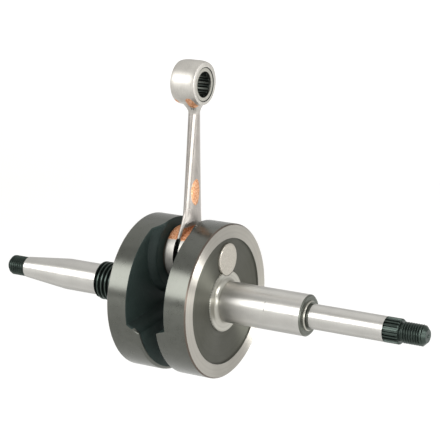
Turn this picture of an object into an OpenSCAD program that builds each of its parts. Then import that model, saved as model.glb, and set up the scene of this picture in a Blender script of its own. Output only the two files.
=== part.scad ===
// Built-up crankshaft of a small two-stroke engine, with its connecting rod and needle bearings.
// The crank axis is the X axis, with the drive side towards +X and the flywheel side towards -X.
// The crankpin stands straight above the crank axis, towards +Z.
// The origin is on the crank axis, midway between the outer faces of the two webs.

/* [Crank webs] */
// Radius of the round webs
web_r = 37.7; // [36:0.1:39]
// Distance from the centre plane to a web's outer face
web_outer_x = 22; // [21:0.1:23]
// Centre plane to the plain inner face of the drive-side web
drive_relief_x = 10; // [9.5:0.1:11]
// Centre plane to the plain inner face of the flywheel-side web
flywheel_relief_x = 11; // [9.5:0.1:11.5]
// Centre plane to the inner face of a counterweight
counterweight_x = 5; // [4.8:0.1:6]
// Angle of a counterweight's side edge below the horizontal
counterweight_side_deg = 12.7; // [8:0.1:20]
// How far below the crank axis a counterweight's two side edges meet
counterweight_apex_drop = 4.8; // [0:0.1:8]
// Radius of the raised pad around the crankpin
pad_r = 17.5; // [15:0.1:18]
// Radius of the boss that a main bearing rests on
boss_r = 14.7; // [13.5:0.1:15.5]
// Inner radius of the ground ring on a web's outer face
ring_inner_r = 30.8; // [28:0.1:33]
// Depth of the turned recess between the ring and the boss
recess_depth = 0.8; // [0.3:0.1:1.2]
// Chamfer at the outer edge of a web
web_chamfer = 0.6; // [0.3:0.1:1]

/* [Crankpin] */
// Distance from the crank axis to the crankpin axis, half of the stroke
crank_radius = 20.5; // [20:0.1:21]
// Radius of the crankpin
pin_r = 8; // [7.9:0.05:8.1]
// Radial interference of the crankpin's press fit
press_bite = 0.015; // [0.005:0.005:0.03]

/* [Drive-side shaft] */
// Radius of the main journals on both sides
journal_r = 10; // [9.5:0.1:10.5]
// Centre plane to the end of the drive-side journal
journal_end_x = 67.3; // [60:0.1:72]
// Radius of the variator shaft
shaft_r = 6; // [5.8:0.1:6.5]
// Centre plane to the start of the spline
spline_start_x = 107.5; // [100:0.1:112]
// Length of the spline
spline_len = 7.6; // [6:0.1:9]
// Number of spline teeth
spline_teeth = 20; // [16:1:24]
// Depth of a spline tooth
spline_depth = 0.7; // [0.4:0.1:0.9]
// Centre plane to the drive-side tip
drive_tip_x = 128; // [124:0.1:132]

/* [Flywheel-side shaft] */
// Centre plane to the end of the flywheel-side bearing seat
seat_end_x = 37; // [35:0.1:38]
// Centre plane to the outer end of the oil-pump worm
worm_end_x = 49.7; // [48:0.1:52]
// Outer radius of the worm
worm_r = 9.5; // [9:0.1:9.8]
// Root radius of the worm
worm_root_r = 7.9; // [7.8:0.1:8.4]
// Axial pitch of the worm's ridges
worm_pitch = 2.3; // [2:0.1:3]
// Radius of the plain seal seat
seal_r = 7.8; // [7.5:0.1:8]
// Centre plane to the large end of the taper
taper_start_x = 70.7; // [66:0.1:74]
// Centre plane to the small end of the taper
taper_end_x = 96; // [92:0.1:98]
// Centre plane to the flywheel-side tip
flywheel_tip_x = 107; // [105:0.1:110]
// Width of the Woodruff key seat
key_w = 3; // [2.5:0.1:3.5]

/* [Threads] */
// Outer radius of both end threads
thread_r = 5; // [4.8:0.1:5]
// Pitch of both end threads
thread_pitch = 1.25; // [1:0.25:1.5]

/* [Connecting rod] */
// Distance between the two eye centres
rod_len = 82.9; // [80:0.1:85]
// Lean of the rod at rest, about the crankpin, towards -Y
rod_lean_deg = 3; // [0:0.5:6]
// Outer radius of the big-end eye
big_eye_r = 13.3; // [13:0.1:13.6]
// Half width of the big-end eye
big_eye_half_w = 6.1; // [5.8:0.1:6.1]
// Radius of the big-end bore
big_bore_r = 10.5; // [10.5:0.1:10.6]
// Outer radius of the small-end eye at its faces
small_eye_r = 10.3; // [9.8:0.1:10.8]
// Outer radius of the small-end eye midway between its faces
small_eye_mid_r = 11.1; // [10.3:0.1:11.5]
// Half width of the small-end eye
small_eye_half_w = 6.5; // [6.3:0.1:6.8]
// Radius of the small-end bore
small_bore_r = 8; // [8:0.1:8.2]
// Half thickness of the shank, along the pins
shank_half_t = 3.1; // [2.8:0.1:3.5]
// Half width of the shank beside the small end
shank_top_half_w = 3.4; // [3:0.1:4.5]
// Half width of the shank beside the big end
shank_low_half_w = 6.9; // [6:0.1:7.5]
// Width of the oil slots in the big-end eye
slot_w = 2.6; // [2:0.1:3]

/* [Needle bearings] */
// Number of big-end rollers
roller_count = 14; // [12:1:14]
// Radius of a big-end roller
roller_r = 1.22; // [1.18:0.01:1.22]
// Half length of a big-end roller
roller_half_l = 4.7; // [4:0.1:4.8]
// Number of small-end needles
needle_count = 14; // [12:1:14]
// Radius of a small-end needle
needle_r = 0.94; // [0.9:0.01:0.94]
// Half length of a small-end needle
needle_half_l = 4.8; // [4:0.1:5]
// Thickness of a thrust washer
washer_t = 1; // [0.8:0.1:1]
// Outer radius of a thrust washer
washer_r = 12.6; // [12:0.1:13]

/* [Hidden] */
$fn = 96;
eps = 0.01;
roller_names = [for (i = [1:roller_count]) str("big_end_roller_", i)];
needle_names = [for (i = [1:needle_count]) str("small_end_needle_", i)];

black_steel = [0.36, 0.39, 0.38];
ground_steel = [0.80, 0.79, 0.76];
rod_steel = [0.74, 0.72, 0.69];
cage_steel = [0.62, 0.62, 0.60];
washer_bronze = [0.72, 0.52, 0.34];

// Crank details
pad_x = big_eye_half_w + washer_t + 0.2;
boss_fillet = 2;
pin_chamfer = 0.4;
shaft_chamfer = 0.7;
collar_r = 7.2;
collar_len = 0.9;
groove_depth = 0.25;
groove_len = 1.2;
tip_chamfer = 1.9;
centre_hole_r = 0.9;
centre_hole_depth = 2.4;
thread_depth = 0.77;
thread_crest = 0.16;
worm_land = 0.7;
taper_end_r = seal_r - (taper_end_x - taper_start_x) / 10;
key_disc_r = 5;
key_centre_x = 84;
key_depth = 2.2;

// Big-end bearing: the roller pitch circle lies midway between the pin and the rod's bore
roller_pitch_r = (pin_r + big_bore_r) / 2;
big_cage_half_l = 5.8;
big_cage_in_r = pin_r + 0.2;
big_cage_out_r = big_bore_r - 0.15;

// Small-end bearing: the needles run 0.03 inside the rod's bore
needle_gap = 0.03;
needle_pitch_r = small_bore_r - needle_gap - needle_r;
small_cage_half_l = 6.2;
small_cage_in_r = 6.28;
small_cage_out_r = small_bore_r - 0.1;
pocket_gap = 0.06;
pocket_end_gap = 0.1;
cage_relief = 0.3;

// Puts a shape made along +Z onto the drive side's +X direction
module along_drive() {
    rotate([0, 90, 0]) children();
}

// The same for the flywheel side's -X direction
module along_flywheel() {
    rotate([0, -90, 0]) children();
}

// A round bar along +X from x0 to x1
module bar(r, x0, x1) {
    translate([x0, 0, 0]) rotate([0, 90, 0]) cylinder(r = r, h = x1 - x0);
}

// Places a shape on the connecting rod: the big end at the crankpin, leaning as at rest
module on_rod() {
    translate([0, 0, crank_radius]) rotate([rod_lean_deg, 0, 0]) children();
}

// Places a shape at the small end's centre
module at_small_end() {
    on_rod() translate([0, 0, rod_len]) children();
}

// The web's disc and boss as a half profile, r along X and distance along Y
module web_profile(relief_x) {
    face_x = web_outer_x;
    floor_x = web_outer_x - recess_depth;
    polygon([
        [0, relief_x],
        [web_r - 0.3, relief_x],
        [web_r, relief_x + 0.3],
        [web_r, face_x - web_chamfer],
        [web_r - web_chamfer, face_x],
        [ring_inner_r, face_x],
        [ring_inner_r - recess_depth / 2, floor_x],
        [boss_r + recess_depth / 2, floor_x],
        [boss_r, face_x],
        [0, face_x]
    ]);
}

// Concave fillet between the boss face and the journal
module boss_fillet_profile() {
    difference() {
        translate([0, web_outer_x - eps]) square([journal_r + boss_fillet, boss_fillet + eps]);
        translate([journal_r + boss_fillet, web_outer_x + boss_fillet]) circle(r = boss_fillet);
    }
}

// A counterweight: its two side edges meet just below the crank axis and fall away outwards
module counterweight(relief_x) {
    reach = 2 * web_r;
    apex_z = -counterweight_apex_drop;
    side_y = reach * cos(counterweight_side_deg);
    side_z = apex_z - reach * sin(counterweight_side_deg);
    intersection() {
        bar(web_r, counterweight_x, relief_x + 0.5);
        rotate([90, 0, 90]) linear_extrude(height = web_outer_x)
            polygon([
                [0, apex_z],
                [-side_y, side_z],
                [-side_y, -reach],
                [side_y, -reach],
                [side_y, side_z]
            ]);
    }
}

// The raised pad around the crankpin, cut off by the web's own outline
module pin_pad(relief_x) {
    intersection() {
        translate([0, 0, crank_radius]) bar(pad_r, pad_x, relief_x + 0.5);
        bar(web_r - 0.3, 0, web_outer_x);
    }
}

// Web, pad and counterweight of one half crank, as on the drive side
module web(relief_x) {
    along_drive() rotate_extrude() web_profile(relief_x);
    counterweight(relief_x);
    pin_pad(relief_x);
}

// The bore that the crankpin is pressed into
module pin_bore() {
    translate([0, 0, crank_radius]) bar(pin_r - press_bite, 0, 2 * web_outer_x);
}

// Thread grooves cut from x0 to x1 with the sharp bottom of each at the root
module thread_grooves(x0, x1) {
    count = floor((x1 - x0) / thread_pitch);
    half_mouth = (thread_pitch - thread_crest) / 2 + 0.05;
    for (i = [0:count - 1]) {
        mid = x0 + (i + 0.5) * thread_pitch;
        rotate_extrude() polygon([
            [thread_r - thread_depth, mid - 0.08],
            [thread_r + 0.1, mid - half_mouth],
            [thread_r + 0.1, mid + half_mouth],
            [thread_r - thread_depth, mid + 0.08]
        ]);
    }
}

// Conical centre hole in a shaft's tip, and the plain start of its mouth
module centre_hole(tip_x) {
    translate([0, 0, tip_x - centre_hole_depth])
        cylinder(r1 = 0.2, r2 = centre_hole_r, h = centre_hole_depth + eps);
}

// Half profile of the drive-side shaft beyond the web
module drive_shaft_profile() {
    thread_start_x = spline_start_x + spline_len;
    groove_x = journal_end_x + collar_len;
    polygon([
        [0, web_outer_x - 1],
        [journal_r, web_outer_x - 1],
        [journal_r, journal_end_x - shaft_chamfer],
        [journal_r - shaft_chamfer, journal_end_x],
        [collar_r, journal_end_x],
        [collar_r, journal_end_x + collar_len / 2],
        [collar_r - collar_len / 2, groove_x],
        [shaft_r - groove_depth, groove_x],
        [shaft_r - groove_depth, groove_x + groove_len],
        [shaft_r, groove_x + groove_len + groove_depth],
        [shaft_r, spline_start_x],
        [shaft_r, thread_start_x - shaft_chamfer],
        [shaft_r - shaft_chamfer, thread_start_x],
        [thread_r - thread_depth, thread_start_x],
        [thread_r - thread_depth, thread_start_x + 0.9],
        [thread_r, thread_start_x + 1.5],
        [thread_r, drive_tip_x - tip_chamfer],
        [thread_r - tip_chamfer, drive_tip_x],
        [0, drive_tip_x]
    ]);
}

// The gaps between the spline's teeth
module spline_gaps() {
    gap_w = PI * shaft_r / spline_teeth;
    for (i = [0:spline_teeth - 1])
        rotate(i * 360 / spline_teeth)
            translate([shaft_r - spline_depth, -gap_w / 2, spline_start_x])
                cube([2 * spline_depth, gap_w, spline_len + eps]);
}

module drive_half_crank() color(black_steel) difference() {
    union() {
        web(drive_relief_x);
        along_drive() rotate_extrude() boss_fillet_profile();
        along_drive() rotate_extrude() drive_shaft_profile();
    }
    pin_bore();
    along_drive() spline_gaps();
    along_drive() thread_grooves(spline_start_x + spline_len + 1.5, drive_tip_x - tip_chamfer);
    along_drive() centre_hole(drive_tip_x);
}

// Half profile of the flywheel-side shaft beyond the web
module flywheel_shaft_profile() {
    worm_start_x = seat_end_x + 1;
    polygon([
        [0, web_outer_x - 1],
        [journal_r, web_outer_x - 1],
        [journal_r, seat_end_x - shaft_chamfer],
        [journal_r - shaft_chamfer, seat_end_x],
        [worm_root_r, seat_end_x],
        [worm_root_r, worm_start_x - eps],
        [worm_r, worm_start_x + shaft_chamfer],
        [worm_r, worm_end_x - shaft_chamfer],
        [worm_r - shaft_chamfer, worm_end_x],
        [seal_r, worm_end_x],
        [seal_r, taper_start_x],
        [taper_end_r, taper_end_x],
        [thread_r, taper_end_x + eps],
        [thread_r, flywheel_tip_x - tip_chamfer],
        [thread_r - tip_chamfer, flywheel_tip_x],
        [0, flywheel_tip_x]
    ]);
}

// The grooves between the worm's ridges
module worm_grooves() {
    first_x = seat_end_x + 1.2 + worm_pitch / 2;
    count = floor((worm_end_x - first_x) / worm_pitch + 0.5);
    half_mouth = (worm_pitch - worm_land) / 2;
    for (i = [0:count - 1]) {
        mid = first_x + i * worm_pitch;
        rotate_extrude() polygon([
            [worm_root_r, mid - 0.35],
            [worm_r + eps, mid - half_mouth],
            [worm_r + eps, mid + half_mouth],
            [worm_root_r, mid + 0.35]
        ]);
    }
}

// Half-round key seat in the taper, on the side away from the crankpin's lean
module key_seat() {
    taper_r = seal_r - (key_centre_x - taper_start_x) / 10;
    translate([-key_centre_x, taper_r - key_depth + key_disc_r, -key_w / 2])
        cylinder(r = key_disc_r, h = key_w);
}

module flywheel_half_crank() color(black_steel) difference() {
    union() {
        mirror([1, 0, 0]) web(flywheel_relief_x);
        along_flywheel() rotate_extrude() boss_fillet_profile();
        along_flywheel() rotate_extrude() flywheel_shaft_profile();
    }
    mirror([1, 0, 0]) pin_bore();
    along_flywheel() worm_grooves();
    along_flywheel() thread_grooves(taper_end_x + 0.4, flywheel_tip_x - tip_chamfer);
    along_flywheel() centre_hole(flywheel_tip_x);
    key_seat();
}

module crankpin() color(ground_steel)
    translate([0, 0, crank_radius]) rotate([0, 90, 0]) rotate_extrude() polygon([
        [0, -web_outer_x],
        [pin_r - pin_chamfer, -web_outer_x],
        [pin_r, -web_outer_x + pin_chamfer],
        [pin_r, web_outer_x - pin_chamfer],
        [pin_r - pin_chamfer, web_outer_x],
        [0, web_outer_x]
    ]);

// An eye with chamfered outer edges, centred on its own axis along X
module eye(r, half_w, chamfer) {
    rotate([0, 90, 0]) rotate_extrude() polygon([
        [0, -half_w],
        [r - chamfer, -half_w],
        [r, -half_w + chamfer],
        [r, half_w - chamfer],
        [r - chamfer, half_w],
        [0, half_w]
    ]);
}

// The small-end eye, forged thicker midway between its faces and set a little above its bore
module small_eye() {
    rise = 0.4;
    chamfer = 0.5;
    crown_half_w = 1.5;
    translate([0, 0, rod_len + rise]) rotate([0, 90, 0]) rotate_extrude() polygon([
        [0, -small_eye_half_w],
        [small_eye_r - chamfer, -small_eye_half_w],
        [small_eye_r, -small_eye_half_w + chamfer],
        [small_eye_mid_r, -crown_half_w],
        [small_eye_mid_r, crown_half_w],
        [small_eye_r, small_eye_half_w - chamfer],
        [small_eye_r - chamfer, small_eye_half_w],
        [0, small_eye_half_w]
    ]);
}

// The shank seen along X: its width, flaring into both eyes
module shank_width_outline() {
    flare_low_z = 17;
    flare_top_z = rod_len - 13;
    low_foot_w = 11.6;
    top_foot_w = 7;
    polygon([
        [-low_foot_w, 6.4],
        [-shank_low_half_w - 1.6, 13],
        [-shank_low_half_w, flare_low_z],
        [-shank_top_half_w, flare_top_z],
        [-top_foot_w, rod_len - 6.5],
        [top_foot_w, rod_len - 6.5],
        [shank_top_half_w, flare_top_z],
        [shank_low_half_w, flare_low_z],
        [shank_low_half_w + 1.6, 13],
        [low_foot_w, 6.4]
    ]);
}

// The shank seen along Y: an even thickness that flares into the small-end eye
module shank_thickness_outline() {
    low_z = 8.2;
    neck_z = rod_len - 14;
    foot_z = rod_len - 8.8;
    foot_half_t = small_eye_half_w - 0.6;
    polygon([
        [-shank_half_t, low_z],
        [-shank_half_t, neck_z],
        [-foot_half_t, foot_z],
        [-foot_half_t, foot_z + 3],
        [foot_half_t, foot_z + 3],
        [foot_half_t, foot_z],
        [shank_half_t, neck_z],
        [shank_half_t, low_z]
    ]);
}

module shank() {
    reach = 2 * big_eye_r;
    intersection() {
        rotate([90, 0, 90]) translate([0, 0, -reach / 2])
            linear_extrude(height = reach) shank_width_outline();
        rotate([90, 0, 0]) translate([0, 0, -reach / 2])
            linear_extrude(height = reach) shank_thickness_outline();
    }
}

// Oil slots through the big-end eye, one on each side of the shank
module oil_slots() {
    slot_low_z = -4;
    slot_top_z = 9;
    for (side = [-1, 1])
        translate([-slot_w / 2, side * big_eye_r - 8, slot_low_z])
            cube([slot_w, 16, slot_top_z - slot_low_z]);
}

module connecting_rod() color(rod_steel) on_rod() difference() {
    union() {
        eye(big_eye_r, big_eye_half_w, 0.5);
        small_eye();
        shank();
    }
    bar(big_bore_r, -20, 20);
    translate([0, 0, rod_len]) bar(small_bore_r, -20, 20);
    oil_slots();
}

// A ring along X with one pocket for each rolling element, relieved inside between its end rims
module needle_cage(in_r, out_r, half_l, count, pitch_r, element_r, element_half_l) {
    pocket_half_w = element_r + pocket_gap;
    pocket_half_l = element_half_l + pocket_end_gap;
    relief_half_l = pocket_half_l + 0.25;
    difference() {
        bar(out_r, -half_l, half_l);
        bar(in_r, -half_l - 1, half_l + 1);
        bar(in_r + cage_relief, -relief_half_l, relief_half_l);
        for (i = [0:count - 1])
            rotate([i * 360 / count, 0, 0])
                translate([-pocket_half_l, -pocket_half_w, pitch_r - 3])
                    cube([2 * pocket_half_l, 2 * pocket_half_w, 6]);
    }
}

// A rolling element, its ends chamfered, at place number i of count on a pitch circle
module rolling_element(i, count, pitch_r, r, half_l) {
    end = 0.25;
    rotate([(i - 1) * 360 / count, 0, 0]) translate([0, 0, pitch_r])
        rotate([0, 90, 0]) rotate_extrude() polygon([
            [0, -half_l],
            [r - end, -half_l],
            [r, -half_l + end],
            [r, half_l - end],
            [r - end, half_l],
            [0, half_l]
        ]);
}

module big_end_cage() color(cage_steel) translate([0, 0, crank_radius])
    needle_cage(big_cage_in_r, big_cage_out_r, big_cage_half_l,
        roller_count, roller_pitch_r, roller_r, roller_half_l);

module big_end_roller(i) color(ground_steel) translate([0, 0, crank_radius])
    rolling_element(i, roller_count, roller_pitch_r, roller_r, roller_half_l);

module small_end_cage() color(cage_steel) at_small_end()
    needle_cage(small_cage_in_r, small_cage_out_r, small_cage_half_l,
        needle_count, needle_pitch_r, needle_r, needle_half_l);

module small_end_needle(i) color(ground_steel) at_small_end()
    rolling_element(i, needle_count, needle_pitch_r, needle_r, needle_half_l);

// A flat ring on the crankpin, centred between the rod's eye and the web's pad
module thrust_washer(side) {
    mid_x = side * (big_eye_half_w + pad_x) / 2;
    translate([0, 0, crank_radius]) difference() {
        bar(washer_r, mid_x - washer_t / 2, mid_x + washer_t / 2);
        bar(pin_r + 0.08, mid_x - washer_t, mid_x + washer_t);
    }
}

module thrust_washer_drive_side() color(washer_bronze) thrust_washer(1);
module thrust_washer_flywheel_side() color(washer_bronze) thrust_washer(-1);

drive_half_crank();
flywheel_half_crank();
crankpin();
connecting_rod();
big_end_cage();
for (i = [1:roller_count])
    big_end_roller(i);
thrust_washer_drive_side();
thrust_washer_flywheel_side();
small_end_cage();
for (i = [1:needle_count])
    small_end_needle(i);
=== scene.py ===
import math

import bmesh
import bpy
from mathutils import Matrix, Vector
from mathutils.geometry import delaunay_2d_cdt


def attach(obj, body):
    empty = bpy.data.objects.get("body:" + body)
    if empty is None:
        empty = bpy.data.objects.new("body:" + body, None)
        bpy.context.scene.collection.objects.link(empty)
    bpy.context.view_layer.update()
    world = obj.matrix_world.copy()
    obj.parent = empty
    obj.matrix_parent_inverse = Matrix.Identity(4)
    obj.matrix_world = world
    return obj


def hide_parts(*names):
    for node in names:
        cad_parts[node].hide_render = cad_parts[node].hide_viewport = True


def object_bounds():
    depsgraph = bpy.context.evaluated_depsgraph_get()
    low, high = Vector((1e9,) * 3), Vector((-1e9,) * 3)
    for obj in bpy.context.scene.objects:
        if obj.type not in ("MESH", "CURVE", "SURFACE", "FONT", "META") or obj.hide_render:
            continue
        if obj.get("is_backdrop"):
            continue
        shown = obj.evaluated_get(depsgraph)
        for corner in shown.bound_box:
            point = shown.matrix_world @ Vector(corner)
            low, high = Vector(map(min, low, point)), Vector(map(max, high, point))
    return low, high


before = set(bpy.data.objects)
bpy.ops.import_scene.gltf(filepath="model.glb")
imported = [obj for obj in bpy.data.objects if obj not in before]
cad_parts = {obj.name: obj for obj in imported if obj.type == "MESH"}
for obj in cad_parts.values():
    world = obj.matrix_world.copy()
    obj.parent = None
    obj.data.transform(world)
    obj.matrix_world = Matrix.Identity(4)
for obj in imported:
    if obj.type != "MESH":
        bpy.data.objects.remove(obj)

cad_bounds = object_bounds()

# Lengths are in millimetres until a mesh is built. The crank axis is X, and the crankpin is towards +Z.
MM = 0.001

# Webs, both sides
WEB_R = 37.7
WEB_OUTER_X = 22.0
WEB_CHAMFER = 0.6
RING_INNER_R = 30.8
RECESS_DEPTH = 0.8
BOSS_R = 14.7
JOURNAL_R = 10.0
FILLET_R = 2.0
PAD_R = 17.5
PAD_X = 7.3
COUNTERWEIGHT_X = 5.0
COUNTERWEIGHT_SIDE = math.radians(12.7)
COUNTERWEIGHT_FOOT_Z = -2.6
RIM_POINTS = 480
BORE_POINTS = 96

# What differs between the webs: where the relief face is, how far its edge is rounded, and how wide and how
# steep each drafted side is
DRIVE_WEB = {"relief_x": 10.0, "edge": 0.4, "pad_draft": (1.8, 1.4), "counterweight_draft": (2.2, 1.3)}
FLYWHEEL_WEB = {"relief_x": 11.0, "edge": 1.4, "pad_draft": (3.0, 1.8), "counterweight_draft": (5.4, 2.2)}

# Shafts, both sides. Each x is the distance from the centre plane between the webs.
SHAFT_POINTS = 160
SEAT_CHAMFER = 0.7
THREAD_R = 5.0
THREAD_ROOT_R = 4.23
THREAD_PITCH = 1.25
TIP_R = 3.1
TIP_CHAMFER = 1.9
SHARP_STEP = 0.02

# Drive side's shaft
DRIVE_SEAT_END_X = 67.3
COLLAR_R = 7.2
COLLAR_END_X = 68.2
COLLAR_CHAMFER = 0.45
GROOVE_R = 5.75
GROOVE_END_X = 69.65
DRIVE_SHAFT_R = 6.0
SPLINE_X = 107.5
SPLINE_END_X = 115.1
SPLINE_ROOT_R = 5.3
SPLINE_TEETH = 20
SPLINE_CHAMFER = 0.5
DRIVE_THREAD_X = 116.0
DRIVE_TIP_X = 128.0

# Flywheel side's shaft
FLYWHEEL_SEAT_END_X = 37.0
WORM_X = 37.6
WORM_END_X = 49.9
WORM_R = 9.5
WORM_ROOT_R = 7.9
WORM_PITCH = 2.3
SEAL_R = 7.8
TAPER_X = 70.7
TAPER_END_X = 96.0
TAPER_END_R = 5.27
FLYWHEEL_THREAD_X = 96.2
FLYWHEEL_TIP_X = 107.0
KEY_X = 84.0
KEY_DISC_R = 5.0
KEY_DISC_Y = 9.27
KEY_HALF_W = 1.5

# Crankpin
CRANK_RADIUS = 20.5
PIN_R = 8.0
PIN_BORE_R = 8.03
PIN_EDGE = 0.38

# Connecting rod
ROD_LEN = 82.9
ROD_LEAN = math.radians(3.0)
BIG_EYE_R = 13.3
BIG_EYE_HALF_W = 6.1
BIG_BORE_R = 10.5
SMALL_EYE_R = 10.3
SMALL_EYE_MID_R = 10.9
SMALL_EYE_RISE = 0.5
SMALL_EYE_HALF_W = 6.5
SMALL_BORE_R = 8.0
SLOT_HALF_W = 1.3
SLOT_LOW_Z = -4.0
SLOT_HIGH_Z = 8.0
SHANK_LOW_Z = 7.0
SHANK_HIGH_Z = ROD_LEN - 6.0
SHANK_FOOT_HALF_W = 7.1
SHANK_NECK_HALF_W = 2.9
SHANK_HALF_THICK = 2.65
SHANK_ASIDE = 0.6
ROD_PLACE = Matrix.Translation((0.0, 0.0, CRANK_RADIUS * MM)) @ Matrix.Rotation(ROD_LEAN, 4, "X")
ROD_STEEL = 0
# The bores and oil slots are coloured near black: painted shade inside them.
ROD_PAINTED_SHADE = 1

FLOOR_Z = -160.0


# ---------------------------------------------------------------- mesh tools

class Skin:
    """A mesh under construction: points in millimetres, and faces that each carry a material zone."""

    def __init__(self):
        self.points = []
        self.faces = []
        self.zones = []

    def add(self, points):
        """Adds points and returns their numbers."""
        start = len(self.points)
        self.points.extend(points)
        return list(range(start, len(self.points)))

    def face(self, corners, zone):
        self.faces.append(tuple(corners))
        self.zones.append(zone)

    def strip(self, ring, other, zone):
        """Quads between two closed rings with the same number of points."""
        count = len(ring)
        for i in range(count):
            j = (i + 1) % count
            self.face((ring[i], ring[j], other[j], other[i]), zone)

    def join(self, ring, other, centre, zone):
        """Triangles between two closed rings around the same centre, whatever their numbers of points."""
        a, a_turn = self.by_angle(ring, centre)
        b, b_turn = self.by_angle(other, centre)
        i = 0
        j = 0
        while i < len(a) or j < len(b):
            next_a = a_turn[i + 1] if i < len(a) else math.inf
            next_b = b_turn[j + 1] if j < len(b) else math.inf
            here_a = a[i % len(a)]
            here_b = b[j % len(b)]
            if next_a <= next_b:
                self.face((here_a, a[(i + 1) % len(a)], here_b), zone)
                i += 1
            else:
                self.face((here_a, b[(j + 1) % len(b)], here_b), zone)
                j += 1

    def by_angle(self, ring, centre):
        """The ring sorted by angle around the centre, and its angles, the first repeated a turn later."""
        def angle(k):
            return math.atan2(self.points[k][2] - centre[1], self.points[k][1] - centre[0])

        ordered = sorted(ring, key=angle)
        turns = [angle(k) for k in ordered]
        return ordered, turns + [turns[0] + 2 * math.pi]

    def close(self, ring, x, zone):
        """Closes a ring with triangles to one point on the crank axis."""
        tip = self.add([(x, 0.0, 0.0)])[0]
        for i, k in enumerate(ring):
            self.face((k, ring[(i + 1) % len(ring)], tip), zone)

    def build(self, name, materials, mirrored=False, crease=32.0):
        """Makes the object, in metres, with its edges sharp above the crease angle."""
        sign = -1.0 if mirrored else 1.0
        mesh = bpy.data.meshes.new(name)
        mesh.from_pydata([(sign * x * MM, y * MM, z * MM) for x, y, z in self.points], [], self.faces)
        mesh.polygons.foreach_set("material_index", self.zones)
        return finish_mesh(mesh, name, materials, crease)


def finish_mesh(mesh, name, materials, crease=32.0):
    """Cleans a mesh, turns its faces outwards, sets its sharp edges and links it as an object."""
    work = bmesh.new()
    work.from_mesh(mesh)
    bmesh.ops.remove_doubles(work, verts=work.verts, dist=1e-7)
    bmesh.ops.dissolve_degenerate(work, edges=work.edges, dist=1e-8)
    bmesh.ops.recalc_face_normals(work, faces=work.faces)
    work.to_mesh(mesh)
    work.free()
    for material in materials:
        mesh.materials.append(material)
    mesh.shade_smooth()
    mesh.set_sharp_from_angle(angle=math.radians(crease))
    piece = bpy.data.objects.new(name, mesh)
    bpy.context.scene.collection.objects.link(piece)
    return piece


def circle(radius, count, centre=(0.0, 0.0)):
    """Points around a circle in the plane of a web's face, as (y, z)."""
    turns = [2 * math.pi * i / count for i in range(count)]
    return [(centre[0] + radius * math.cos(t), centre[1] + radius * math.sin(t)) for t in turns]


def mix(a, b, t):
    return a + (b - a) * t


def ease(t):
    """A smooth step from 0 to 1."""
    t = min(max(t, 0.0), 1.0)
    return t * t * (3 - 2 * t)


def plate(skin, chains, holes, height, zone):
    """A triangulated web face. Each chain is (points, closed), each hole is (centre, radius), and height
    gives x at (y, z). Returns the border loops."""
    points = []
    edges = []
    for chain, closed in chains:
        start = len(points)
        points += chain
        edges += [(start + i, start + i + 1) for i in range(len(chain) - 1)]
        if closed:
            edges.append((len(points) - 1, start))
    flat, _, triangles, _, _, _ = delaunay_2d_cdt([Vector(p) for p in points], edges, [], 0, 1e-4, False)

    def inside_hole(triangle):
        middle = (flat[triangle[0]] + flat[triangle[1]] + flat[triangle[2]]) / 3
        return any((middle - Vector(centre)).length < radius for centre, radius in holes)

    kept = [t for t in triangles if not inside_hole(t)]
    used = sorted({k for t in kept for k in t})
    numbers = skin.add([(height(flat[k].x, flat[k].y), flat[k].x, flat[k].y) for k in used])
    number = dict(zip(used, numbers))
    for triangle in kept:
        middle = sum((flat[k] for k in triangle), Vector((0.0, 0.0))) / 3
        skin.face([number[k] for k in triangle], zone(middle.x, middle.y))
    return border_loops(kept, number)


def border_loops(triangles, number):
    """The loops of edges that belong to one triangle only."""
    directed = set()
    for triangle in triangles:
        corners = [number[k] for k in triangle]
        directed.update(zip(corners, corners[1:] + corners[:1]))
    after = {a: b for a, b in directed if (b, a) not in directed}
    loops = []
    while after:
        start, here = after.popitem()
        loop = [start]
        while here != start:
            loop.append(here)
            here = after.pop(here)
        loops.append(loop)
    return loops


def loop_around(skin, loops, centre, radius):
    """The loop that runs around a centre at about a radius."""
    def miss(loop):
        far = [math.hypot(skin.points[k][1] - centre[0], skin.points[k][2] - centre[1]) for k in loop]
        return max(abs(f - radius) for f in far)

    return min(loops, key=miss)


def carve(piece, cutter):
    """Takes a closed cutter out of a closed piece, and deletes the cutter."""
    change = piece.modifiers.new("carve", "BOOLEAN")
    change.operation = "DIFFERENCE"
    change.solver = "EXACT"
    change.object = cutter
    apply_changes(piece)
    bpy.data.objects.remove(cutter)


def weld(piece, other):
    """Adds a closed piece to another, and deletes the second one."""
    change = piece.modifiers.new("weld", "BOOLEAN")
    change.operation = "UNION"
    change.solver = "EXACT"
    change.object = other
    apply_changes(piece)
    bpy.data.objects.remove(other)


def apply_changes(piece):
    """Replaces a piece's mesh by what its modifiers make of it."""
    depsgraph = bpy.context.evaluated_depsgraph_get()
    mesh = bpy.data.meshes.new_from_object(piece.evaluated_get(depsgraph))
    piece.modifiers.clear()
    old = piece.data
    piece.data = mesh
    bpy.data.meshes.remove(old)


# ---------------------------------------------------------------- half cranks

def rise(distance, draft):
    """0 at the foot of a drafted side, 1 at its top: a soft foot, then steep, then rounded over."""
    width, power = draft
    foot = 0.08
    t = min(max(distance / width, 0.0), 1.0)
    t = (1 + foot) * t * t / (t + foot)
    return 1 - (1 - t) ** power


def pad_rise(web, y, z):
    """0 outside the foot of the pad around the crankpin, 1 on the pad."""
    width = web["pad_draft"][0]
    return rise(PAD_R + width - math.hypot(y, z - CRANK_RADIUS), web["pad_draft"])


def counterweight_rise(web, y, z):
    """0 above the counterweight's foot line, 1 on the counterweight."""
    below = (COUNTERWEIGHT_FOOT_Z - z) * math.cos(COUNTERWEIGHT_SIDE) - abs(y) * math.sin(COUNTERWEIGHT_SIDE)
    return rise(below, web["counterweight_draft"])


def inner_x(web, y, z):
    """Distance from the centre plane to a web's inner face."""
    relief = web["relief_x"]
    return relief - max(
        (relief - PAD_X) * pad_rise(web, y, z),
        (relief - COUNTERWEIGHT_X) * counterweight_rise(web, y, z),
    )


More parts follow.
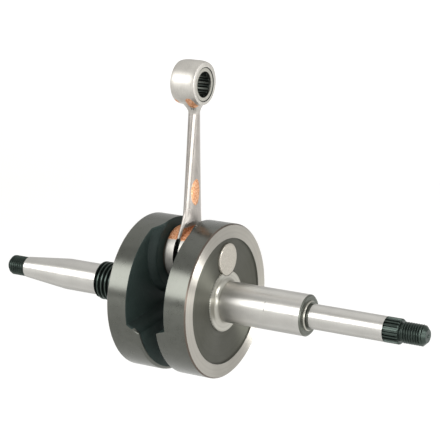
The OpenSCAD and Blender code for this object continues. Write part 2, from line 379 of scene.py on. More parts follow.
def draft_offsets(width):
    """How far inside its foot line a drafted side gets its edge loops, one of them flat beyond each end."""
    steps = 14
    beyond = 0.15
    return [-beyond] + [width * (i / steps) ** 1.4 for i in range(steps + 1)] + [width + beyond]


def pad_chain(radius, border_r):
    """A circle around the crankpin, cut off at the border."""
    cosine = (radius * radius + CRANK_RADIUS ** 2 - border_r ** 2) / (2 * CRANK_RADIUS * radius)
    limit = math.acos(max(cosine, -1.0))
    half = 60
    turns = [limit * (i / half - 1) for i in range(2 * half + 1)]
    return [(radius * math.sin(t), CRANK_RADIUS - radius * math.cos(t)) for t in turns]


def counterweight_chain(below, border_r):
    """The counterweight's foot line moved down by a distance, from one end at the border to the other."""
    sine = math.sin(COUNTERWEIGHT_SIDE)
    cosine = math.cos(COUNTERWEIGHT_SIDE)
    apex = COUNTERWEIGHT_FOOT_Z - below / cosine
    reach = apex * sine + math.sqrt((apex * sine) ** 2 - apex ** 2 + border_r ** 2)
    end = (reach * cosine, apex - reach * sine)
    return [end, (0.0, apex), (-end[0], end[1])]


def inner_face(skin, web, border_r, zones):
    """A web's forged inner face, with its pad and counterweight. Returns its border and bore loops."""
    pad_width = web["pad_draft"][0]
    chains = [(pad_chain(PAD_R + pad_width - d, border_r), False) for d in draft_offsets(pad_width)]
    counterweight_width = web["counterweight_draft"][0]
    chains += [(counterweight_chain(d, border_r), False) for d in draft_offsets(counterweight_width)]
    ends = [p for chain, _ in chains for p in (chain[0], chain[-1])]
    ring = sorted(circle(border_r, RIM_POINTS) + ends, key=lambda p: math.atan2(p[1], p[0]))
    chains.append((ring, True))
    bore = (0.0, CRANK_RADIUS)
    chains.append((circle(PIN_BORE_R, BORE_POINTS, bore), True))

    # The drafted sides get a darker copy of the forged skin: painted shade.
    def zone(y, z):
        side = any(0.02 < part(web, y, z) < 0.985 for part in (pad_rise, counterweight_rise))
        return zones["forged_painted_shade"] if side else zones["forged"]

    loops = plate(skin, chains, [(bore, PIN_BORE_R)], lambda y, z: inner_x(web, y, z), zone)
    return loop_around(skin, loops, (0.0, 0.0), border_r), loop_around(skin, loops, bore, PIN_BORE_R)


def outer_x(y, z):
    """Distance from the centre plane to a web's turned outer face."""
    r = math.hypot(y, z)
    half = RECESS_DEPTH / 2
    down_in = (r - BOSS_R) / half
    down_out = (RING_INNER_R - r) / half
    return WEB_OUTER_X - RECESS_DEPTH * min(max(min(down_in, down_out), 0.0), 1.0)


def outer_face(skin, zones):
    """A web's turned outer face. Returns its border loop, its bore loop and the shaft's first loop."""
    half = RECESS_DEPTH / 2
    border_r = WEB_R - WEB_CHAMFER
    shaft_r = JOURNAL_R + FILLET_R
    bore = (0.0, CRANK_RADIUS)
    radii = [(RING_INNER_R, 240), (RING_INNER_R - half, 240), (BOSS_R + half, 160), (BOSS_R, 160)]
    chains = [(circle(border_r, RIM_POINTS), True), (circle(shaft_r, SHAFT_POINTS), True)]
    chains += [(circle(r, count), True) for r, count in radii]
    chains.append((circle(PIN_BORE_R, BORE_POINTS, bore), True))

    def zone(y, z):
        r = math.hypot(y, z)
        if r > RING_INNER_R - 0.1:
            return zones["ring"]
        return zones["recess"] if r > BOSS_R + half / 2 else zones["boss"]

    loops = plate(skin, chains, [((0.0, 0.0), shaft_r), (bore, PIN_BORE_R)], outer_x, zone)
    return (
        loop_around(skin, loops, (0.0, 0.0), border_r),
        loop_around(skin, loops, bore, PIN_BORE_R),
        loop_around(skin, loops, (0.0, 0.0), shaft_r),
    )


def rim(skin, inner, outer, web, zones):
    """The web's rim, from the inner face's border over its edge to the outer chamfer. The edge is rounded at
    the counterweight, and nearly sharp beside the relief."""
    edge = web["edge"]
    least_edge = 0.25
    rise_at = [counterweight_rise(web, skin.points[k][1], skin.points[k][2]) for k in inner]
    previous = inner
    for step in (0.2, 0.4, 0.6, 0.8, 1.0):
        out = edge * math.sin(step * math.pi / 2)
        back = 1 - math.cos(step * math.pi / 2)
        ring = []
        for k, up in zip(inner, rise_at):
            x, y, z = skin.points[k]
            grow = (WEB_R - edge + out) / math.hypot(y, z)
            ring += skin.add([(x + mix(least_edge, edge, up) * back, y * grow, z * grow)])
        for i, up in enumerate(rise_at):
            j = (i + 1) % len(inner)
            zone = zones["rim"] if up > 0.5 else zones["forged"]
            skin.face((previous[i], previous[j], ring[j], ring[i]), zone)
        previous = ring
    straight = []
    for k in previous:
        _, y, z = skin.points[k]
        straight += skin.add([(WEB_OUTER_X - WEB_CHAMFER, y, z)])
    skin.strip(previous, straight, zones["rim"])
    skin.join(straight, outer, (0.0, 0.0), zones["chamfer"])


def shaft(skin, start, rings, zones):
    """The turned shaft. Each ring is (x, radius, zone of the strip up to it), and a radius may be a function
    of the point's number. The rings start half a turn on, where the start loop does once it is sorted. The
    last ring is at the bottom of the centre hole, which ends in a cone."""
    previous, _ = skin.by_angle(start, (0.0, 0.0))
    half = SHAFT_POINTS // 2
    numbers = list(range(half, SHAFT_POINTS)) + list(range(half))
    turns = [2 * math.pi * k / SHAFT_POINTS for k in numbers]
    for x, radius, zone in rings:
        sizes = [radius(k) if callable(radius) else radius for k in numbers]
        ring = skin.add([(x, r * math.cos(t), r * math.sin(t)) for r, t in zip(sizes, turns)])
        skin.strip(previous, ring, zones[zone])
        previous = ring
    hole_x, _, hole_zone = rings[-1]
    skin.close(previous, hole_x - 0.4, zones[hole_zone])


def boss_fillet():
    """Rings of the concave fillet between the boss and the journal."""
    rings = []
    steps = 8
    for i in range(1, steps + 1):
        turn = math.pi / 2 * i / steps
        r = JOURNAL_R + FILLET_R * (1 - math.sin(turn))
        x = WEB_OUTER_X + FILLET_R * (1 - math.cos(turn))
        rings.append((x, r, "boss"))
    return rings


def seat_end(x, next_r):
    """Rings of a bearing seat up to its chamfered end at x, and of the step down to the next radius."""
    return [
        (x - SEAT_CHAMFER, JOURNAL_R, "journal"),
        (x, JOURNAL_R - SEAT_CHAMFER, "shoulder"),
        (x, next_r, "shoulder"),
    ]


def helix(x_from, x_to, pitch, per_turn, shape, zone, limit):
    """Rings of a right-hand screw form. shape gives the radius at a phase from 0 to 1, and limit caps it."""
    count = round((x_to - x_from) / pitch * per_turn)
    rings = []
    for i in range(count + 1):
        x = x_from + (x_to - x_from) * i / count

        def radius(k, x=x):
            phase = (x / pitch - k / SHAFT_POINTS) % 1.0
            return min(shape(phase), limit(x))

        rings.append((x, radius, zone))
    return rings


def thread_shape(phase):
    """An M10 thread's section: a narrow crest, straight flanks and a narrow root."""
    climb = min(abs(phase - 0.5) * 2 / 0.86, 1.0)
    return THREAD_ROOT_R + (THREAD_R - THREAD_ROOT_R) * max((climb - 0.1) / 0.9, 0.0)


def thread(x_from, start_x, start_r, tip_x):
    """Rings of a thread that grows out of a starting radius and is chamfered at the shaft's tip."""
    def limit(x):
        growing = start_r + max(x - start_x, 0.0) * 1.3
        chamfered = THREAD_R - max(x - tip_x + TIP_CHAMFER, 0.0)
        return min(THREAD_R, growing, chamfered)

    return helix(x_from, tip_x - 0.2, THREAD_PITCH, 12, thread_shape, "thread", limit)


def worm_shape(phase):
    """The oil-pump worm's section: flat ridges with sloping sides."""
    climb = (abs(phase - 0.5) * 2 - 0.3) / 0.4
    return WORM_ROOT_R + (WORM_R - WORM_ROOT_R) * min(max(climb, 0.0), 1.0)


def worm():
    """Rings of the oil-pump worm, sloping up at its start and steeper down at its end."""
    def limit(x):
        start = WORM_ROOT_R + max(x - WORM_X, 0.0) * 1.2
        end = WORM_ROOT_R + max(WORM_END_X - x, 0.0) * 2.2
        return min(WORM_R, start, end)

    return helix(WORM_X, WORM_END_X - 0.1, WORM_PITCH, 20, worm_shape, "worm", limit)


def tip(x):
    """Rings of a shaft's end face with its centre hole."""
    return [(x, TIP_R, "tip"), (x, 0.95, "tip"), (x - 0.12, 0.82, "tip"), (x - 2.3, 0.12, "tip")]


def drive_shaft_rings():
    """The drive side's shaft from the boss to its tip."""
    points_per_tooth = SHAFT_POINTS // SPLINE_TEETH

    def spline(k):
        return DRIVE_SHAFT_R if k % points_per_tooth < points_per_tooth // 2 else SPLINE_ROOT_R

    def spline_end(k):
        return min(spline(k), DRIVE_SHAFT_R - SPLINE_CHAMFER)

    return boss_fillet() + seat_end(DRIVE_SEAT_END_X, COLLAR_R) + [
        (COLLAR_END_X - COLLAR_CHAMFER, COLLAR_R, "collar"),
        (COLLAR_END_X, COLLAR_R - COLLAR_CHAMFER, "collar"),
        (COLLAR_END_X, GROOVE_R, "shoulder"),
        (GROOVE_END_X - 0.25, GROOVE_R, "groove"),
        (GROOVE_END_X, DRIVE_SHAFT_R, "groove"),
        (SPLINE_X - 0.1, DRIVE_SHAFT_R, "shaft"),
        (SPLINE_X, DRIVE_SHAFT_R, "shaft"),
        (SPLINE_X + SHARP_STEP, spline, "spline"),
        (SPLINE_END_X - SPLINE_CHAMFER, spline, "spline"),
        (SPLINE_END_X, spline_end, "spline"),
        (SPLINE_END_X + SHARP_STEP, THREAD_ROOT_R, "spline"),
        (DRIVE_THREAD_X, THREAD_ROOT_R, "thread"),
    ] + thread(DRIVE_THREAD_X + 0.1, DRIVE_THREAD_X, THREAD_ROOT_R, DRIVE_TIP_X) + tip(DRIVE_TIP_X)


def flywheel_shaft_rings():
    """The flywheel side's shaft, seen as if it pointed towards +X, from the boss to its tip."""
    return boss_fillet() + seat_end(FLYWHEEL_SEAT_END_X, WORM_ROOT_R) + worm() + [
        (WORM_END_X - 0.05, SEAL_R, "worm"),
        (TAPER_X, SEAL_R, "seal"),
        (TAPER_END_X, TAPER_END_R, "taper"),
        (TAPER_END_X + SHARP_STEP, 4.9, "thread"),
    ] + thread(FLYWHEEL_THREAD_X, FLYWHEEL_THREAD_X, 4.4, FLYWHEEL_TIP_X) + tip(FLYWHEEL_TIP_X)


def half_crank(name, web, rings, finishes, mirrored):
    """One web with its pad, counterweight, pin bore and shaft, as one closed mesh."""
    order = list(finishes)
    zones = {zone: i for i, zone in enumerate(order)}
    skin = Skin()
    inner_border, inner_bore = inner_face(skin, web, WEB_R - web["edge"], zones)
    outer_border, outer_bore, shaft_loop = outer_face(skin, zones)
    rim(skin, inner_border, outer_border, web, zones)
    skin.join(inner_bore, outer_bore, (0.0, CRANK_RADIUS), zones["boss"])
    shaft(skin, shaft_loop, rings, zones)
    return skin.build(name, [finishes[zone] for zone in order], mirrored)


def key_seat(piece, zone):
    """Cuts the Woodruff key seat into the taper: a half disc sunk into its far side, towards +Y."""
    profile = [(-KEY_HALF_W, KEY_DISC_R), (KEY_HALF_W, KEY_DISC_R)]
    cutter = lathe("key_seat_cutter", profile, list(piece.data.materials), zones=[zone])
    place = Matrix.Translation(Vector((-KEY_X, KEY_DISC_Y, 0.0)) * MM)
    cutter.data.transform(place @ Matrix.Rotation(math.radians(90), 4, "Y"))
    carve(piece, cutter)
    piece.data.set_sharp_from_angle(angle=math.radians(32.0))


# ---------------------------------------------------------------- crankpin and connecting rod

def lathe(name, profile, materials, points=128, zones=None):
    """Turns a profile of (x, radius) around the X axis into a solid bar."""
    skin = Skin()
    rings = []
    for x, r in profile:
        turns = [2 * math.pi * i / points for i in range(points)]
        rings.append(skin.add([(x, r * math.cos(t), r * math.sin(t)) for t in turns]))
    for i, (ring, other) in enumerate(zip(rings, rings[1:])):
        skin.strip(ring, other, zones[i] if zones else 0)
    skin.close(rings[0], profile[0][0], zones[0] if zones else 0)
    skin.close(rings[-1], profile[-1][0], zones[-1] if zones else 0)
    return skin.build(name, materials)


def crankpin(materials):
    """The pressed crankpin, its end edges rounded off."""
    end = -WEB_OUTER_X
    profile = [
        (end, PIN_R - 1.0),
        (end, PIN_R - PIN_EDGE),
        (end + 0.12, PIN_R - 0.14),
        (end + PIN_EDGE, PIN_R),
    ]
    profile += [(-x, r) for x, r in reversed(profile)]
    piece = lathe("crankpin_bar", profile, materials)
    piece.data.transform(Matrix.Translation((0.0, 0.0, CRANK_RADIUS * MM)))
    return piece


def eye(name, half_w, face_r, mid_r, z, materials):
    """A rod eye as a solid disc with rounded edges, its surface crowned between its faces."""
    edge = 0.3
    corner = 0.09
    steps = 8
    crown_half_w = half_w - edge
    profile = [(-half_w, face_r - edge), (-half_w + corner, face_r - corner)]
    for i in range(2 * steps + 1):
        across = i / steps - 1
        profile.append((across * crown_half_w, mix(mid_r, face_r, across ** 4)))
    profile += [(half_w - corner, face_r - corner), (half_w, face_r - edge)]
    piece = lathe(name, profile, materials, 160)
    piece.data.transform(Matrix.Translation((0.0, 0.0, z * MM)))
    return piece


def bore_cutter(name, r, half_w, z, materials):
    """What a rod's bore leaves open, chamfered at both faces. Its cuts get the near black zone of painted
    shade.
    """
    chamfer = 0.35
    profile = [(-half_w - 1, r + chamfer + 1), (-half_w + chamfer, r)]
    profile += [(-x, radius) for x, radius in reversed(profile)]
    piece = lathe(name, profile, materials, zones=[ROD_PAINTED_SHADE] * 3)
    piece.data.transform(Matrix.Translation((0.0, 0.0, z * MM)))
    return piece


def slot_cutter(name, side, materials):
    """An oil slot through one side of the big eye, its upper end rounded."""
    steps = 12
    outline = [(-SLOT_HALF_W, SLOT_LOW_Z), (SLOT_HALF_W, SLOT_LOW_Z)]
    for i in range(steps + 1):
        turn = math.pi * i / steps
        outline.append((SLOT_HALF_W * math.cos(turn), SLOT_HIGH_Z + SLOT_HALF_W * math.sin(turn)))
    skin = Skin()
    near = skin.add([(x, side * (BIG_BORE_R - 1.5), z) for x, z in outline])
    far = skin.add([(x, side * (BIG_EYE_R + 1.7), z) for x, z in outline])
    skin.strip(near, far, ROD_PAINTED_SHADE)
    skin.face(near, ROD_PAINTED_SHADE)
    skin.face(far, ROD_PAINTED_SHADE)
    return skin.build(name, materials)


def shank_size(z):
    """Half width, half thickness and squareness of the shank at a height above the crankpin."""
    up = min(max((z - 17.0) / (ROD_LEN - 30.0), 0.0), 1.0)
    low = 1 - ease((z - 5.0) / 16.0)
    top = ease((z - (ROD_LEN - 14.5)) / 9.0)
    width = mix(SHANK_FOOT_HALF_W, SHANK_NECK_HALF_W, up) + 5.0 * low + 4.2 * top
    thick = SHANK_HALF_THICK + 3.0 * ease((z - (ROD_LEN - 14.0)) / 7.0)
    square = 1.75 + 0.45 * ease((z - 11.0) / 13.0)
    return width, thick, square


def shank(materials):
    """The forged shank: a loft of rounded sections that narrow to an edge where they flare into the eyes.
    Between the eyes it stands a little aside from the rod's middle, towards +X and +Y."""
    skin = Skin()
    around = 96
    rings = []
    steps = 130
    for i in range(steps + 1):
        z = mix(SHANK_LOW_Z, SHANK_HIGH_Z, i / steps)
        width, thick, square = shank_size(z)
        aside = SHANK_ASIDE * ease((z - 6.0) / 16.0) * ease((SHANK_HIGH_Z - z) / 8.0)
        ring = []
        for k in range(around):
            t = 2 * math.pi * k / around
            x = math.copysign(abs(math.cos(t)) ** (2 / square), math.cos(t)) * thick
            y = math.copysign(abs(math.sin(t)) ** (2 / square), math.sin(t)) * width
            ring += skin.add([(x + aside, y + aside, z)])
        rings.append(ring)
    for ring, other in zip(rings, rings[1:]):
        skin.strip(ring, other, ROD_STEEL)
    skin.face(rings[0], ROD_STEEL)
    skin.face(list(reversed(rings[-1])), ROD_STEEL)
    return skin.build("rod_shank", materials)


def connecting_rod(materials):
    """Both eyes and the shank as one piece, with its bores and oil slots, leaning as at rest."""
    rod = shank(materials)
    small_z = ROD_LEN + SMALL_EYE_RISE
    weld(rod, eye("rod_big_eye", BIG_EYE_HALF_W, BIG_EYE_R, BIG_EYE_R, 0.0, materials))
    weld(rod, eye("rod_small_eye", SMALL_EYE_HALF_W, SMALL_EYE_R, SMALL_EYE_MID_R, small_z, materials))
    carve(rod, bore_cutter("rod_big_bore", BIG_BORE_R, BIG_EYE_HALF_W, 0.0, materials))
    carve(rod, bore_cutter("rod_small_bore", SMALL_BORE_R, SMALL_EYE_HALF_W, ROD_LEN, materials))
    for side in (-1, 1):
        carve(rod, slot_cutter("rod_slot", side, materials))
    mesh = rod.data
    bpy.data.objects.remove(rod)
    mesh.transform(ROD_PLACE)
    return finish_mesh(mesh, "connecting_rod_forging", [], 38.0)


# ---------------------------------------------------------------- materials

class Graph:
    """One material's nodes, with short names for the steps that the materials below are made of."""

    def __init__(self, name):
        self.material = bpy.data.materials.new(name)
        self.material.use_nodes = True
        self.nodes = self.material.node_tree.nodes
        self.links = self.material.node_tree.links
        self.shader = self.nodes["Principled BSDF"]
        self.place = self.node("ShaderNodeTexCoord").outputs["Object"]

    def node(self, kind, **settings):
        """Adds a node and sets its properties."""
        made = self.nodes.new(kind)
        for key, value in settings.items():
            setattr(made, key, value)
        return made

    def feed(self, socket, value):
        """Links an input to another node's output, or gives it a constant."""
        if isinstance(value, bpy.types.NodeSocket):
            self.links.new(value, socket)
        else:
            socket.default_value = value

    def math(self, operation, a, b=0.0):
        made = self.node("ShaderNodeMath", operation=operation)
        self.feed(made.inputs[0], a)
        self.feed(made.inputs[1], b)
        return made.outputs[0]

    def total(self, *parts):
        """The sum of some values, each given with its weight."""
        weighed = [self.math("MULTIPLY", value, weight) for value, weight in parts]
        result = weighed[0]
        for other in weighed[1:]:
            result = self.math("ADD", result, other)
        return result

    def axes(self, vector=None):
        """The x, y and z of a vector, or of the place."""
        made = self.node("ShaderNodeSeparateXYZ")
        self.feed(made.inputs[0], vector or self.place)
        return made.outputs

    def on_rod(self):
        """The place as seen from the crankpin, with z along the rod."""
        made = self.node("ShaderNodeMapping")
        self.feed(made.inputs["Vector"], self.place)
        back = ROD_PLACE.inverted()
        made.inputs["Location"].default_value = back.to_translation()
        made.inputs["Rotation"].default_value = back.to_euler()
        return made.outputs[0]

    def stretched(self, vector, x, y, z):
        """A vector scaled differently along each axis."""
        made = self.node("ShaderNodeMapping")
        self.feed(made.inputs["Vector"], vector)
        made.inputs["Scale"].default_value = (x, y, z)
        return made.outputs[0]

    def noise(self, vector, scale, detail=3.0, roughness=0.55):
        made = self.node("ShaderNodeTexNoise")
        self.feed(made.inputs["Vector"], vector)
        made.inputs["Scale"].default_value = scale
        made.inputs["Detail"].default_value = detail
        made.inputs["Roughness"].default_value = roughness
        return made.outputs["Fac"]

    def lines(self, distance, scale, detail=3.0):
        """Noise along one distance only, as turning and grinding leave it."""
        made = self.node("ShaderNodeTexNoise", noise_dimensions="1D")
        self.feed(made.inputs["W"], distance)
        made.inputs["Scale"].default_value = scale
        made.inputs["Detail"].default_value = detail
        return made.outputs["Fac"]

    def remap(self, value, low, high, to_low, to_high):
        """A value carried from one range to another, and held at its ends."""
        made = self.node("ShaderNodeMapRange")
        self.feed(made.inputs["Value"], value)
        ends = {"From Min": low, "From Max": high, "To Min": to_low, "To Max": to_high}
        for socket, number in ends.items():
            made.inputs[socket].default_value = number
        return made.outputs["Result"]

    def band(self, value, low, high, soft):
        """1 between two values, falling to 0 over a soft width outside them. All are in millimetres."""
        up = self.remap(value, (low - soft) * MM, (low + soft) * MM, 0.0, 1.0)
        down = self.remap(value, (high - soft) * MM, (high + soft) * MM, 1.0, 0.0)
        return self.math("MULTIPLY", up, down)

    def ramp(self, factor, *stops):
        """A colour between stops, each given as its position and colour."""
        made = self.node("ShaderNodeValToRGB")
        self.feed(made.inputs[0], factor)
        elements = made.color_ramp.elements
        while len(elements) < len(stops):
            elements.new(0.5)
        for element, (position, colour) in zip(elements, stops):
            element.position = position
            element.color = (*colour, 1.0)
        return made.outputs["Color"]

    def blend(self, factor, a, b):
        """One colour where the factor is 0, another where it is 1."""
        made = self.node("ShaderNodeMix", data_type="RGBA")
        self.feed(made.inputs["Factor"], factor)
        colours = [s for s in made.inputs if s.type == "RGBA"]
        for socket, value in zip(colours, (a, b)):
            self.feed(socket, (*value, 1.0) if isinstance(value, tuple) else value)
        return [s for s in made.outputs if s.type == "RGBA"][0]

    def bump(self, height, strength, distance_mm):
        """Gives the whole surface a fine relief."""
        made = self.node("ShaderNodeBump")
        self.feed(made.inputs["Height"], height)
        made.inputs["Strength"].default_value = strength
        made.inputs["Distance"].default_value = distance_mm * MM
        self.feed(self.shader.inputs["Normal"], made.outputs[0])

    def around_crank(self, anisotropic):
        """Stretches reflections across turning lines that run around the crank axis."""
        self.shader.inputs["Anisotropic"].default_value = anisotropic
        self.shader.inputs["Anisotropic Rotation"].default_value = 0.25
        tangent = self.node("ShaderNodeTangent", direction_type="RADIAL", axis="X")
        self.feed(self.shader.inputs["Tangent"], tangent.outputs[0])

    def finish(self, colour, roughness, metallic=1.0):
        """Feeds the shader and returns the material."""
        self.feed(self.shader.inputs["Base Color"], colour)
        self.feed(self.shader.inputs["Roughness"], roughness)
        self.shader.inputs["Metallic"].default_value = metallic
        return self.material


def radius_from_axis(graph):
    """The distance from the crank axis."""
    _, y, z = graph.axes()
    return graph.math("SQRT", graph.math("ADD", graph.math("MULTIPLY", y, y), graph.math("MULTIPLY", z, z)))


def black_oxide(name, dark, light, rough):
    """Blackened and turned steel: mottled greenish black with faint turning lines."""
    graph = Graph(name)
    x, _, _ = graph.axes()
    mottle = graph.noise(graph.place, 260.0, 5.0, 0.6)
    fine = graph.noise(graph.place, 2600.0, 2.0, 0.5)
    shade = graph.total((mottle, 0.75), (fine, 0.25))
    colour = graph.ramp(shade, (0.35, dark), (0.65, light))
    graph.bump(graph.lines(x, 3500.0), 0.05, 0.02)
    graph.around_crank(0.7)
    return graph.finish(colour, graph.remap(mottle, 0.3, 0.7, rough - 0.03, rough + 0.03))


def forged_skin(name, dark, light):
    """Blackened forging left as it came from the die: matt, with a fine scale and soft unevenness."""
    graph = Graph(name)
    scale = graph.noise(graph.place, 1500.0, 4.0, 0.6)
    uneven = graph.noise(graph.place, 140.0, 3.0, 0.5)
    shade = graph.total((scale, 0.45), (uneven, 0.55))
    colour = graph.ramp(shade, (0.36, dark), (0.64, light))
    graph.shader.inputs["Specular IOR Level"].default_value = 0.2
    graph.bump(scale, 0.3, 0.05)
    return graph.finish(colour, graph.remap(uneven, 0.3, 0.7, 0.5, 0.62), 0.1)


def turned_face(name, dark, light, rough, anisotropic, lines_per_metre):
    """A face turned or ground around the crank axis, with fine rings."""
    graph = Graph(name)
    r = radius_from_axis(graph)
    rings = graph.lines(r, lines_per_metre)
    broad = graph.lines(r, lines_per_metre / 9, 2.0)
    patch = graph.noise(graph.place, 90.0)
    shade = graph.total((rings, 0.45), (broad, 0.3), (patch, 0.25))
    colour = graph.ramp(shade, (0.38, dark), (0.62, light))
    graph.bump(rings, 0.25, 0.02)
    graph.around_crank(anisotropic)
    return graph.finish(colour, graph.remap(patch, 0.3, 0.7, rough - 0.04, rough + 0.05))


def ground_shaft(name, dark, light, rough, anisotropic):
    """A shaft ground round, with fine lines around it, painted shade that darkens its underside, and a short
    scribed line across the drive side's journal."""
    graph = Graph(name)
    x, y, z = graph.axes()
    rings = graph.lines(x, 5200.0, 4.0)
    patch = graph.noise(graph.place, 120.0)
    shade = graph.total((rings, 0.6), (patch, 0.4))
    colour = graph.ramp(shade, (0.35, dark), (0.65, light))
    # Painted shade: the colour turns darker towards the underside of the shaft.
    underside_painted_shade = graph.remap(graph.math("DIVIDE", z, radius_from_axis(graph)), -0.97, -0.60, 1.0, 0.0)
    colour = graph.blend(underside_painted_shade, colour, (0.21, 0.205, 0.19))
    scribed = graph.math("MULTIPLY", graph.band(x, 47.85, 48.15, 0.08), graph.band(z, 0.8, 5.2, 0.3))
    scribed = graph.math("MULTIPLY", scribed, graph.remap(y, -4.0 * MM, -5.0 * MM, 0.0, 1.0))
    colour = graph.blend(scribed, colour, (0.12, 0.12, 0.11))
    graph.bump(rings, 0.12, 0.01)
    graph.around_crank(anisotropic)
    return graph.finish(colour, graph.remap(patch, 0.3, 0.7, rough - 0.03, rough + 0.04))


def spot(graph, a, a_mid, a_half, b, b_mid, b_half):
    """1 inside an ellipse in the plane of two distances, 0 outside it. Its middle and half sizes are in
    millimetres."""
    across = graph.math("DIVIDE", graph.math("SUBTRACT", a, a_mid * MM), a_half * MM)
    along = graph.math("DIVIDE", graph.math("SUBTRACT", b, b_mid * MM), b_half * MM)
    far = graph.math("ADD", graph.math("MULTIPLY", across, across), graph.math("MULTIPLY", along, along))
    return graph.remap(far, 0.75, 1.15, 1.0, 0.0)


def copper_places(graph, x, y, z):
    """1 where the rod's copper coat is left: an oval on each flat side, and patches at the shank's ends."""
    outward = graph.math("ABSOLUTE", x)
    flat = graph.remap(outward, 0.8 * MM, 1.2 * MM, 0.0, 1.0)
    oval = graph.math("MULTIPLY", spot(graph, y, -0.5, 3.4, z, 30.6, 6.7), flat)
    shoulder = graph.remap(outward, 0.8 * MM, 1.5 * MM, 0.0, 1.0)
    low = graph.math("MULTIPLY", graph.band(z, 8.4, 14.2, 0.9), shoulder)
    top = spot(graph, x, 2.6, 2.4, z, ROD_LEN - 8.6, 2.6)
    corner = spot(graph, x, -5.3, 1.2, z, ROD_LEN - 8.6, 1.3)
    return graph.math("MAXIMUM", graph.math("MAXIMUM", oval, low), graph.math("MAXIMUM", top, corner))


def polished_rod(name):
    """Polished forging, browner along the shank, with long fine marks and patches of copper coat."""
    graph = Graph(name)
    local = graph.on_rod()
    x, y, z = graph.axes(local)
    marks = graph.noise(graph.stretched(local, 1.0, 1.0, 0.12), 2400.0, 3.0)
    patch = graph.noise(local, 180.0)
    fine = graph.noise(local, 1400.0, 4.0, 0.65)
    shade = graph.total((marks, 0.6), (patch, 0.4))
    eye_steel = graph.ramp(shade, (0.35, (0.455, 0.437, 0.405)), (0.65, (0.56, 0.542, 0.503)))
    shank_steel = graph.ramp(shade, (0.35, (0.36, 0.335, 0.31)), (0.65, (0.46, 0.43, 0.40)))
    steel = graph.blend(graph.band(z, 16.0, ROD_LEN - 12.0, 3.0), eye_steel, shank_steel)
    copper = graph.ramp(
        fine,
        (0.38, (0.42, 0.18, 0.085)),
        (0.5, (0.66, 0.33, 0.17)),
        (0.62, (0.80, 0.53, 0.36)),
    )
    uneven = graph.math("ADD", copper_places(graph, x, y, z), graph.remap(patch, 0.3, 0.7, -0.25, 0.25))
    coat = graph.remap(uneven, 0.35, 0.65, 0.0, 1.0)
    graph.bump(graph.math("ADD", marks, graph.math("MULTIPLY", coat, fine)), 0.08, 0.02)
    at_eye = graph.remap(z, (ROD_LEN - 12.0) * MM, (ROD_LEN - 7.0) * MM, 0.0, 0.24)
    at_foot = graph.remap(z, 24.0 * MM, 17.0 * MM, 0.0, 0.28)
    gloss = graph.math("ADD", graph.remap(patch, 0.3, 0.7, 0.20, 0.24), graph.math("ADD", at_eye, at_foot))
    rough = graph.math("ADD", gloss, graph.math("MULTIPLY", coat, 0.2))
    return graph.finish(graph.blend(coat, steel, copper), rough)


def plain_metal(name, dark, light, rough):
    """A small machined part: a faint grain and slightly uneven gloss."""
    graph = Graph(name)
    grain = graph.noise(graph.place, 1800.0, 4.0)
    patch = graph.noise(graph.place, 300.0)
    colour = graph.ramp(grain, (0.35, dark), (0.65, light))
    graph.bump(grain, 0.05, 0.01)
    return graph.finish(colour, graph.remap(patch, 0.3, 0.7, rough - 0.04, rough + 0.05))


def bearing_cage(name):
    """A needle cage: bright satin end rims, and bars between them coloured dark as painted shade."""
    graph = Graph(name)
    x, _, _ = graph.axes()
    grain = graph.noise(graph.place, 1800.0, 4.0)
    rims = graph.ramp(grain, (0.35, (0.36, 0.35, 0.31)), (0.65, (0.50, 0.49, 0.44)))
    # Painted shade: the bars inside the bore are coloured dark.
    bars_painted_shade = graph.ramp(grain, (0.35, (0.075, 0.082, 0.072)), (0.65, (0.12, 0.13, 0.115)))
    at_rims = graph.remap(graph.math("ABSOLUTE", x), 5.6 * MM, 5.9 * MM, 0.0, 1.0)
    graph.bump(grain, 0.05, 0.01)
    return graph.finish(graph.blend(at_rims, bars_painted_shade, rims), graph.remap(grain, 0.3, 0.7, 0.32, 0.40))


def crank_finishes():
    """The material of each zone of a half crank."""
    black = black_oxide("black_oxide", (0.118, 0.122, 0.108), (0.138, 0.142, 0.127), 0.29)
    screw = black_oxide("black_oxide_thread", (0.044, 0.058, 0.051), (0.069, 0.088, 0.078), 0.36)
    forged = forged_skin("forged_black", (0.021, 0.034, 0.031), (0.035, 0.052, 0.047))
    # A darker copy of the forged skin for the drafted sides: painted shade.
    forged_painted_shade = forged_skin("forged_black_painted_shade", (0.014, 0.023, 0.021), (0.025, 0.037, 0.034))
    ring = turned_face("ground_ring", (0.44, 0.42, 0.38), (0.50, 0.48, 0.435), 0.42, 1.0, 9000.0)
    chamfer = turned_face("turned_chamfer", (0.105, 0.085, 0.070), (0.15, 0.125, 0.105), 0.3, 0.5, 9000.0)
    recess = turned_face("turned_recess", (0.098, 0.098, 0.082), (0.115, 0.115, 0.096), 0.48, 0.9, 4200.0)
    boss = turned_face("ground_boss", (0.36, 0.35, 0.31), (0.48, 0.47, 0.42), 0.3, 0.7, 9000.0)
    polished = ground_shaft("ground_journal", (0.48, 0.47, 0.445), (0.58, 0.57, 0.54), 0.34, 0.55)
    shoulder = turned_face("dark_shoulder", (0.10, 0.11, 0.095), (0.16, 0.165, 0.145), 0.35, 0.5, 6000.0)
    return {
        "forged": forged, "forged_painted_shade": forged_painted_shade, "rim": black, "chamfer": chamfer, "ring": ring,
        "recess": recess, "boss": boss, "journal": polished, "shoulder": shoulder, "collar": boss,
        "groove": shoulder, "shaft": polished, "spline": screw, "thread": screw, "tip": screw,
        "worm": screw, "seal": polished, "taper": polished,
    }


# ---------------------------------------------------------------- studio

